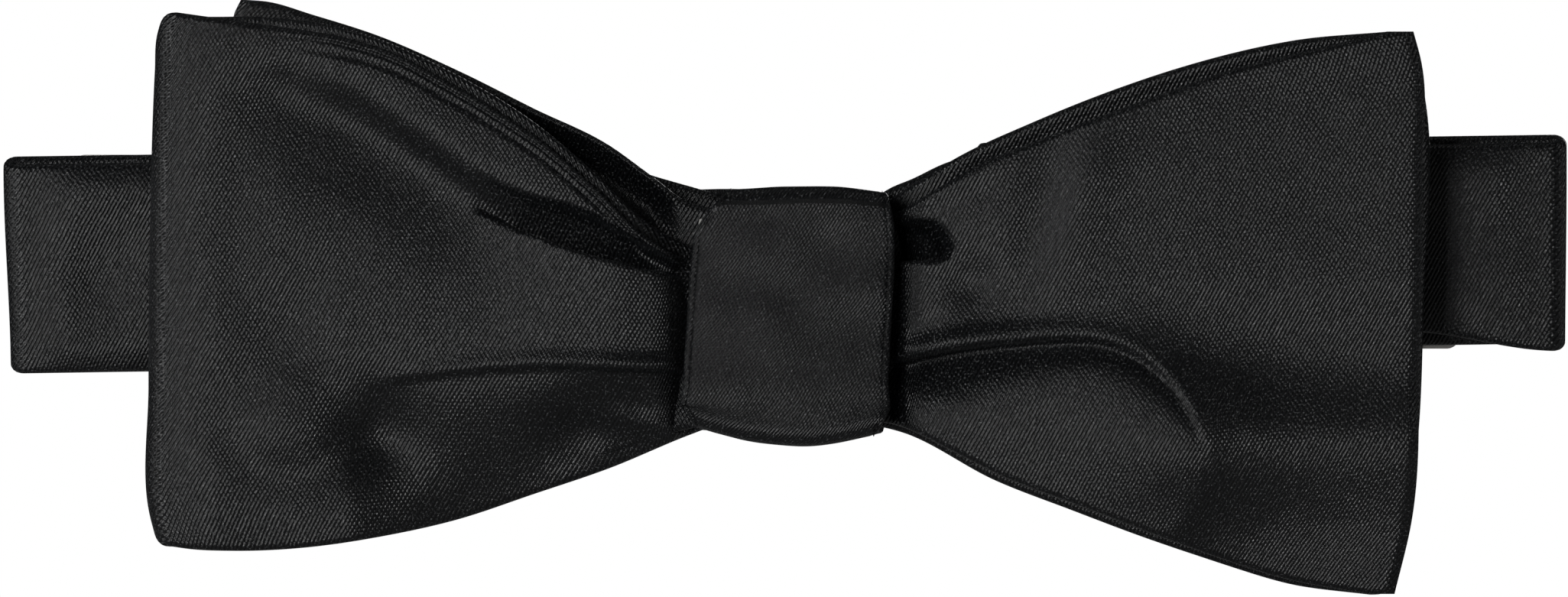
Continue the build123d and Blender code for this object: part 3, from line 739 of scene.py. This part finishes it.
def makeThread(name, lines):
    # round threads along lines of points, all one piece
    radius, sides = thread["radius"], thread["sides"]
    around = np.linspace(0, math.tau, sides, endpoint=False)
    points, faces, uvs, count = [], [], [], 0
    for line in lines:
        line = np.asarray(line, float)
        along = np.gradient(line, axis=0)
        along /= np.linalg.norm(along, axis=1, keepdims=True)
        aside = np.cross(along, np.array([0.31, 0.17, 0.93]))
        aside /= np.linalg.norm(aside, axis=1, keepdims=True)
        up = np.cross(along, aside)
        rings = line[:, None] + radius * (
            aside[:, None] * np.cos(around)[None, :, None] + up[:, None] * np.sin(around)[None, :, None]
        )
        rows = len(line)
        index = np.arange(rows * sides).reshape(rows, sides) + count
        index = np.concatenate([index, index[:, :1]], axis=1)
        faces.append(gridFaces(index)[:, ::-1])
        for ring, turn in ((index[0], 1), (index[-1], -1)):
            caps = np.array([(0, 1, 2, 7), (7, 2, 3, 6), (6, 3, 4, 5)])
            faces.append(ring[caps][:, ::turn])
        run = runLength(line)
        uv = np.stack(np.broadcast_arrays(run[:, None], around[None, :] * radius), axis=-1)
        points.append(rings.reshape(-1, 3))
        uvs.append(uv.reshape(-1, 2))
        count += rows * sides
    return makeMesh(name, np.concatenate(points), np.concatenate(faces), np.concatenate(uvs))


def stitchesAlong(start, finish, outward, count):
    # a run of stitches between two places, each one dipping into the cloth at its ends
    start, finish, outward = np.array(start), np.array(finish), np.array(outward)
    lines = []
    for i in range(count):
        t = (i + np.linspace(0.12, 0.88, 7)) / count
        rise = -0.16 + 0.3 * np.sin(np.linspace(0, math.pi, 7)) ** 0.6
        lines.append(start + (finish - start) * t[:, None] + outward * rise[:, None])
    return lines


def makeSeamBox(name, node):
    (x0, _, z0), (x1, _, z1) = boxOf(node)
    y = band["strapY"] + band["half"]
    r = thread["radius"]
    x0, x1, z0, z1 = x0 + r, x1 - r, z0 + r, z1 - r
    up, across = int((z1 - z0) / thread["stitch"]), int((x1 - x0) / thread["stitch"])
    lines = []
    corners = [(x0, y, z0), (x0, y, z1), (x1, y, z1), (x1, y, z0)]
    for i, count in enumerate((up, across, up, across)):
        lines += stitchesAlong(corners[i], corners[(i + 1) % 4], (0, 1, 0), count)
    return makeThread(name, lines)


def makeBartack(name, node, surfaceY):
    # a dense zigzag across the tape
    (x0, _, z0), (x1, _, z1) = boxOf(node)
    turns = 26
    z = np.linspace(z0 + 0.2, z1 - 0.2, turns * 6 + 1)
    swing = np.linspace(0, turns, turns * 6 + 1)
    wave = 1 - np.abs((swing % 2) - 1) * 2
    x = (x0 + x1) / 2 + wave * ((x1 - x0) / 2 - 0.2)
    y = surfaceY + 0.10 + 0.07 * (1 - wave**2)
    return makeThread(name, [np.stack([x, y, z], axis=-1)])


def makeWaistThread():
    # three turns round the gathered middle, side by side
    path = ringPath(9.15, 10.63, -10.63, 1.0, 0.5)
    path[:, 0] = np.clip(path[:, 0], -9.15, -2.75)
    count, turns = len(path), 3
    index = np.arange(turns * count + 1)
    x = -0.4 + 0.8 * index / (turns * count)
    return makeThread("waistThread", [np.stack([x, path[index % count, 0], path[index % count, 1]], axis=-1)])


def makeKnotStitches():
    # whip stitches that close the wrap underneath, near its back
    lines = []
    for i in range(15):
        x = -7.7 + 1.1 * i
        angle = np.radians(np.linspace(-12, 100, 9))
        reach = knot["corner"] + 0.08 - 0.3 * np.abs(np.linspace(-1, 1, 9)) ** 3
        y = -knot["corner"] - 0.2 + reach * np.cos(angle)
        z = knot["bottom"] + 0.5 + 0.016 * (x - 1) ** 2 + knot["corner"] - reach * np.sin(angle)
        lines.append(np.stack([x + np.linspace(0, 0.55, 9), y, z], axis=-1))
    return makeThread("knotStitches", lines)


def makeKnotPadding():
    # a felt pad, thickest in its middle and rounded towards its edges
    (x0, y0, z0), (x1, y1, z1) = boxOf("knot_padding")
    u, v = [np.sin(np.linspace(-1, 1, count) * math.pi / 2) for count in (33, 37)]
    u, v = np.meshgrid(u, v, indexing="ij")
    x = (x0 + x1) / 2 + u * (x1 - x0) / 2 * (1 - 0.04 * v**4)
    z = (z0 + z1) / 2 + v * (z1 - z0) / 2 * (1 - 0.04 * u**4)
    half = (y1 - y0) / 2 * (0.22 + 0.74 * np.sqrt((1 - u**4) * (1 - v**4)))
    half += 0.03 * clouds(x, z, 2.0, 7.7)
    y = np.full_like(x, (y0 + y1) / 2)
    front = np.stack([x, y - half, z], axis=-1)
    back = np.stack([x, y + half, z], axis=-1)
    return shell("knotPadding", front, back, np.stack([x, z], axis=-1))


# the nickel fittings: the modelled shapes with their edges softened, as cast and tumbled metal has

def makeFitting(name, node, width):
    source = bpy.data.objects[node]
    piece = bpy.data.objects.new(name, source.data.copy())
    piece.data.materials.clear()
    bpy.context.scene.collection.objects.link(piece)
    bpy.ops.object.select_all(action="DESELECT")
    piece.select_set(True)
    bpy.context.view_layer.objects.active = piece
    bpy.ops.object.mode_set(mode="EDIT")
    bpy.ops.mesh.select_all(action="SELECT")
    bpy.ops.mesh.remove_doubles(threshold=0.002 * mm)
    bpy.ops.mesh.dissolve_limited(angle_limit=math.radians(1.0))
    bpy.ops.mesh.normals_make_consistent(inside=False)
    bpy.ops.object.mode_set(mode="OBJECT")
    bevel = piece.modifiers.new("softEdges", "BEVEL")
    bevel.width = width * mm
    bevel.segments = 3
    bevel.limit_method = "ANGLE"
    bevel.angle_limit = math.radians(35)
    bpy.ops.object.modifier_apply(modifier=bevel.name)
    bpy.ops.object.shade_smooth_by_angle(angle=math.radians(32))
    return piece


# materials

def newMaterial(name):
    material = bpy.data.materials.new(name)
    material.use_nodes = True
    return material, material.node_tree, material.node_tree.nodes["Principled BSDF"]


def clothMaterial(name):
    # a material on the piece's own UV map, with the places along the cloth and across it
    material, tree, shader = newMaterial(name)
    uv = tree.nodes.new("ShaderNodeUVMap")
    uv.uv_map = "Cloth"
    split = tree.nodes.new("ShaderNodeSeparateXYZ")
    tree.links.new(uv.outputs["UV"], split.inputs[0])
    return material, tree, shader, uv.outputs["UV"], split.outputs[0], split.outputs[1]


def addMath(tree, operation, *values):
    node = tree.nodes.new("ShaderNodeMath")
    node.operation = operation
    for i, value in enumerate(values):
        if isinstance(value, (int, float)):
            node.inputs[i].default_value = value
        else:
            tree.links.new(value, node.inputs[i])
    return node.outputs[0]


def slanted(tree, u, v, shareU, shareV):
    return addMath(tree, "ADD", addMath(tree, "MULTIPLY", u, shareU), addMath(tree, "MULTIPLY", v, shareV))


def ribs(tree, distance, pitch):
    return addMath(tree, "SINE", addMath(tree, "MULTIPLY", distance, math.tau / pitch))


def addNoise(tree, vector, scale, detail):
    node = tree.nodes.new("ShaderNodeTexNoise")
    node.inputs["Scale"].default_value = scale
    node.inputs["Detail"].default_value = detail
    tree.links.new(vector, node.inputs["Vector"])
    return node.outputs["Fac"]


def mixColours(tree, low, high, factor):
    node = tree.nodes.new("ShaderNodeMix")
    node.data_type = "RGBA"
    if isinstance(low, tuple):
        node.inputs["A"].default_value = low
    else:
        tree.links.new(low, node.inputs["A"])
    node.inputs["B"].default_value = high
    tree.links.new(factor, node.inputs["Factor"])
    return node.outputs["Result"]


def addBump(tree, shader, height, distance, strength=1.0):
    bump = tree.nodes.new("ShaderNodeBump")
    bump.inputs["Strength"].default_value = strength
    bump.inputs["Distance"].default_value = distance
    tree.links.new(height, bump.inputs["Height"])
    tree.links.new(bump.outputs["Normal"], shader.inputs["Normal"])


satin = {
    "ribPitch": 0.34 * mm,
    "ribAngle": 61,
    "stitchPitch": 0.42 * mm,
    "dark": (0.0016, 0.0017, 0.002, 1),
    "light": (0.017, 0.0182, 0.0205, 1),
    # the colour of the painted glint specks
    "paintedGlint": (0.15, 0.155, 0.16, 1),
    "roughness": 0.30,
    "sheen": 0.02,
    "ribDepth": 0.07 * mm,
    "facetScale": 3300,
    "facetShare": 0.9,
}


def satinSilk(name="satinSilk", angle=satin["ribAngle"], pitch=satin["ribPitch"]):
    # fine twill satin: steep ribs of short floats, with painted glints: tiny specks painted pale in the base
    # colour and made smoother
    material, tree, shader, uv, u, v = clothMaterial(name)
    wobble = addNoise(tree, uv, 260, 2)
    lean = math.radians(angle)
    phase = slanted(tree, u, v, math.sin(lean) * math.tau / pitch, -math.cos(lean) * math.tau / pitch)
    phase = addMath(tree, "ADD", phase, addMath(tree, "MULTIPLY", wobble, 5.0))
    rib = addMath(tree, "SINE", phase)
    stitch = satin["stitchPitch"]
    along = slanted(tree, u, v, math.cos(lean) * math.tau / stitch, math.sin(lean) * math.tau / stitch)
    along = addMath(tree, "ADD", along, addMath(tree, "MULTIPLY", phase, 0.37))
    floats = addMath(tree, "SINE", along)
    weave = addMath(tree, "ADD", rib, addMath(tree, "MULTIPLY", floats, 0.35))
    level = addMath(tree, "MULTIPLY_ADD", weave, 0.37, 0.5)
    paintedGlint = tree.nodes.new("ShaderNodeMapRange")
    paintedGlint.inputs["From Min"].default_value = 0.66
    paintedGlint.inputs["From Max"].default_value = 0.76
    tree.links.new(addNoise(tree, uv, 5200, 0), paintedGlint.inputs["Value"])
    paintedGlint = paintedGlint.outputs[0]
    colour = mixColours(tree, satin["dark"], satin["light"], addMath(tree, "POWER", level, 2.0))
    # painted highlight: the glint specks are mixed into the base colour as pale dots, whether lit or not
    colour = mixColours(tree, colour, satin["paintedGlint"], addMath(tree, "MULTIPLY", paintedGlint, 0.8))
    tree.links.new(colour, shader.inputs["Base Color"])
    rough = addMath(tree, "MULTIPLY_ADD", level, -0.08, satin["roughness"] + 0.04)
    tree.links.new(addMath(tree, "MULTIPLY_ADD", paintedGlint, -0.10, rough), shader.inputs["Roughness"])
    shader.inputs["Sheen Weight"].default_value = satin["sheen"]
    shader.inputs["Sheen Roughness"].default_value = 0.45
    shader.inputs["Sheen Tint"].default_value = (0.85, 0.93, 1, 1)
    facets = addNoise(tree, uv, satin["facetScale"], 1)
    relief = addMath(tree, "MULTIPLY_ADD", facets, satin["facetShare"], level)
    addBump(tree, shader, relief, satin["ribDepth"])
    return material


def plainWeave(name, base, other, pitch, roughness):
    # a plain woven cloth
    material, tree, shader, uv, u, v = clothMaterial(name)
    weave = addMath(tree, "MULTIPLY", ribs(tree, u, pitch), ribs(tree, v, pitch))
    level = addMath(tree, "MULTIPLY_ADD", weave, 0.3, addNoise(tree, uv, 900, 4))
    tree.links.new(mixColours(tree, base, other, level), shader.inputs["Base Color"])
    shader.inputs["Roughness"].default_value = roughness
    addBump(tree, shader, level, 0.05 * mm)
    return material


def grosgrain():
    # ribs across the tape, with the finer weave between them
    material, tree, shader, uv, u, v = clothMaterial("grosgrain")
    fine = addMath(tree, "MULTIPLY_ADD", ribs(tree, v, 0.24 * mm), 0.1, 0.45)
    level = addMath(tree, "MULTIPLY_ADD", ribs(tree, u, 0.62 * mm), 0.3, fine)
    fuzzy = addMath(tree, "MULTIPLY", level, addNoise(tree, uv, 1500, 3))
    colour = mixColours(tree, (0.006, 0.0063, 0.007, 1), (0.028, 0.029, 0.031, 1), fuzzy)
    tree.links.new(colour, shader.inputs["Base Color"])
    shader.inputs["Roughness"].default_value = 0.6
    shader.inputs["Sheen Weight"].default_value = 0.15
    addBump(tree, shader, level, 0.12 * mm)
    return material


def twistedThread():
    material, tree, shader, _, u, v = clothMaterial("twistedThread")
    twist = slanted(tree, u, v, math.tau / (0.5 * mm), 2 / (thread["radius"] * mm))
    level = addMath(tree, "MULTIPLY_ADD", addMath(tree, "SINE", twist), 0.5, 0.5)
    colour = mixColours(tree, (0.008, 0.008, 0.009, 1), (0.04, 0.041, 0.043, 1), level)
    tree.links.new(colour, shader.inputs["Base Color"])
    shader.inputs["Roughness"].default_value = 0.4
    addBump(tree, shader, level, 0.04 * mm)
    return material


def nickelPlate():
    # polished plate with faint scratches and duller patches
    material, tree, shader = newMaterial("nickelPlate")
    local = tree.nodes.new("ShaderNodeTexCoord").outputs["Object"]
    stretched = tree.nodes.new("ShaderNodeMapping")
    stretched.inputs["Scale"].default_value = (1, 1, 9)
    tree.links.new(local, stretched.inputs["Vector"])
    scratches = addNoise(tree, stretched.outputs["Vector"], 2200, 3)
    patches = addNoise(tree, local, 260, 3)
    shader.inputs["Metallic"].default_value = 1.0
    tone = mixColours(tree, (0.52, 0.50, 0.47, 1), (0.68, 0.66, 0.63, 1), patches)
    tree.links.new(tone, shader.inputs["Base Color"])
    tree.links.new(addMath(tree, "MULTIPLY_ADD", scratches, 0.22, 0.12), shader.inputs["Roughness"])
    addBump(tree, shader, scratches, 0.01 * mm, 0.25)
    return material


finishes = {
    "satin_silk": satinSilk(),
    "knotSilk": satinSilk("knotSilk", -38, 0.26 * mm),
    "interlining": plainWeave(
        "canvasInterlining", (0.42, 0.40, 0.35, 1), (0.66, 0.64, 0.58, 1), 0.7 * mm, 0.9
    ),
    "padding": plainWeave("feltPadding", (0.50, 0.49, 0.46, 1), (0.70, 0.69, 0.66, 1), 2.3 * mm, 0.95),
    "thread": twistedThread(),
    "grosgrain_tape": grosgrain(),
    "nickel": nickelPlate(),
}


def place(piece, slotName, body, nodes, finish=None):
    # give a piece its finish and what it rides on, and hide the solids it stands for
    piece.data.materials.append(finishes[finish or slotName])
    if isinstance(body, str):
        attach(piece, body)
    else:
        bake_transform(piece)
    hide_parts(*nodes)


def along(x, y):
    return (x * mm, y * mm, 0)


# the bow
for blade, heights, node, flat, area in (
    (frontBlade, frontHeights, "front_blade", (0.0545, 0.184), 0.0064),
    (backBlade, backHeights, "back_blade", (0.0535, 0.176), 0.0060),
):
    layers = ("_outer_silk", "_inner_silk", "_interlining")
    for piece, layer in zip(makeBlade(blade, heights), layers):
        slotName = "interlining" if layer == "_interlining" else "satin_silk"
        place(piece, slotName, "bow", [node + layer])
print("blades made")

wrap, wrapMiddle, wrapInset = makeKnot()
place(wrap, "satin_silk", "bow", ["knot_wrap_silk"], "knotSilk")
core = makeCore("knotInterlining", wrapMiddle, wrapInset, 0.18, 0.75, ring=True)
place(core, "interlining", "bow", ["knot_wrap_interlining"])
pad = makeKnotPadding()
place(pad, "padding", "bow", ["knot_padding"])
place(makeWaistThread(), "thread", "bow", ["waist_thread"])
place(makeKnotStitches(), "thread", "bow", ["knot_stitches"])
print("knot made")

# the neckband
for side, word in ((-1, "left"), (1, "right")):
    (first, firstCore), (second, secondCore) = makeBandPieces(side)
    leafBody, strapBody = word + "_leaf", word + "_strap"
    foldX, innerX = side * band["foldReach"], side * band["innerFold"]
    outerTurn = ("bow", leafBody, along(foldX, -1.2), along(foldX, -0.4))
    innerTurn = (leafBody, strapBody, along(innerX, 0.8), along(innerX, 2.0))
    place(first, "satin_silk", outerTurn, ["neckband_silk", word + "_outer_fold", word + "_leaf_silk"])
    place(firstCore, "interlining", outerTurn, ["neckband_interlining", word + "_leaf_interlining"])
    place(second, "satin_silk", innerTurn, [word + "_leaf_silk", word + "_inner_fold", word + "_silk_end"])
    place(secondCore, "interlining", innerTurn, [word + "_leaf_interlining"])
    stitches = word + "_end_stitches"
    place(makeSeamBox(word + "EndStitches", stitches), "thread", strapBody, [stitches])
print("neckband made")

# the adjuster
left, front, back, wrapped = makeTapes()
place(left, "grosgrain_tape", "left_strap", ["left_tape"])
frontStretch = ("right_strap", "hook_loop", along(28, 2.6), along(56, 2.6))
place(front, "grosgrain_tape", frontStretch, ["right_tape"])
backStretch = ("hook_loop", "slider_body", along(56, 5), along(36, 5))
place(back, "grosgrain_tape", backStretch, ["tape_turn", "tape_return"])
place(wrapped, "grosgrain_tape", "slider_body", ["slider_wrap"])
place(makeBartack("leftBartack", "left_bartack", 3.45), "thread", "left_strap", ["left_bartack"])
place(makeBartack("sliderBartack", "slider_bartack", 5.25), "thread", "slider_body", ["slider_bartack"])
edgeRound = 0.18
for name, node, body in (
    ("eyeFitting", "eye", "eye_body"),
    ("hookFitting", "hook", "hook_body"),
    ("sliderFitting", "slider", "slider_body"),
):
    place(makeFitting(name, node, edgeRound), "nickel", body, [node])
print("adjuster made")

# room, camera and light

softLights = (
    # name, place and size in metres, watts; each one faces the bow
    ("keySoftbox", (-0.36, -1.0, 0.14), (0.30, 0.30), 2.6),
    ("fillSoftbox", (0.75, -0.55, 0.05), (0.3, 0.5), 0.10),
    ("leftStrip", (-0.8, -0.6, 0.1), (0.2, 0.5), 1.7),
    ("leftEdge", (-0.9, 0.02, 0.05), (0.3, 0.6), 0.7),
    ("rightEdge", (0.9, 0.02, 0.05), (0.3, 0.6), 0.5),
    ("backSoftbox", (0.3, 1.0, 0.25), (0.4, 0.3), 0.7),
    ("topEdge", (0, 0.0, 0.9), (0.8, 0.3), 0.4),
)
room = {"floor": 3, "floorHeight": -0.034, "floorBack": 0.25, "light": 0.01}
view = {"distance": 1.8, "width": 0.1485, "place": (-0.0001, 0.00156), "sensor": 36}


def areaLight(name, spot, size, power):
    data = bpy.data.lights.new(name, "AREA")
    data.shape = "RECTANGLE"
    data.size, data.size_y = size
    data.energy = power
    lamp = bpy.data.objects.new(name, data)
    lamp.location = spot
    lamp.rotation_euler = (-Vector(spot)).to_track_quat("-Z", "Y").to_euler()
    lamp.visible_camera = False
    bpy.context.scene.collection.objects.link(lamp)


def makeRoom():
    bpy.ops.object.select_all(action="DESELECT")
    bpy.ops.mesh.primitive_plane_add(size=room["floor"], location=(0, 0, room["floorHeight"]))
    floor = bpy.context.active_object
    floor.name = "floor"
    bpy.ops.object.transform_apply(location=True, rotation=True, scale=True)
    paint, _, shader = newMaterial("palePaper")
    shader.inputs["Base Color"].default_value = (0.86, 0.86, 0.86, 1)
    shader.inputs["Roughness"].default_value = 0.8
    floor.data.materials.append(paint)
    # cut the floor short behind the bow, so that the level camera sees only the pale room
    for v in floor.data.vertices:
        v.co.y = min(v.co.y, room["floorBack"])
    world = bpy.data.worlds.new("paleRoom")
    bpy.context.scene.world = world
    world.use_nodes = True
    nodes, links = world.node_tree.nodes, world.node_tree.links
    # the camera sees white, and the bow gets only a little of it
    seen = nodes["Background"]
    seen.inputs["Color"].default_value = (1, 1, 1, 1)
    seen.inputs["Strength"].default_value = 1.0
    lit = nodes.new("ShaderNodeBackground")
    lit.inputs["Color"].default_value = (0.95, 0.98, 1, 1)
    lit.inputs["Strength"].default_value = room["light"]
    mix = nodes.new("ShaderNodeMixShader")
    links.new(nodes.new("ShaderNodeLightPath").outputs["Is Camera Ray"], mix.inputs[0])
    links.new(lit.outputs[0], mix.inputs[1])
    links.new(seen.outputs[0], mix.inputs[2])
    links.new(mix.outputs[0], nodes["World Output"].inputs["Surface"])
    for light in softLights:
        areaLight(*light)


def makeCamera():
    data = bpy.data.cameras.new("camera")
    camera = bpy.data.objects.new("camera", data)
    data.sensor_width = view["sensor"]
    data.lens = view["sensor"] * view["distance"] / view["width"]
    data.clip_start = 0.5
    x, z = view["place"]
    camera.location = (x, -view["distance"], z)
    camera.rotation_euler = (math.radians(90), 0, 0)
    bpy.context.scene.collection.objects.link(camera)
    bpy.context.scene.camera = camera


makeRoom()
makeCamera()
bpy.context.scene.view_settings.view_transform = "Standard"
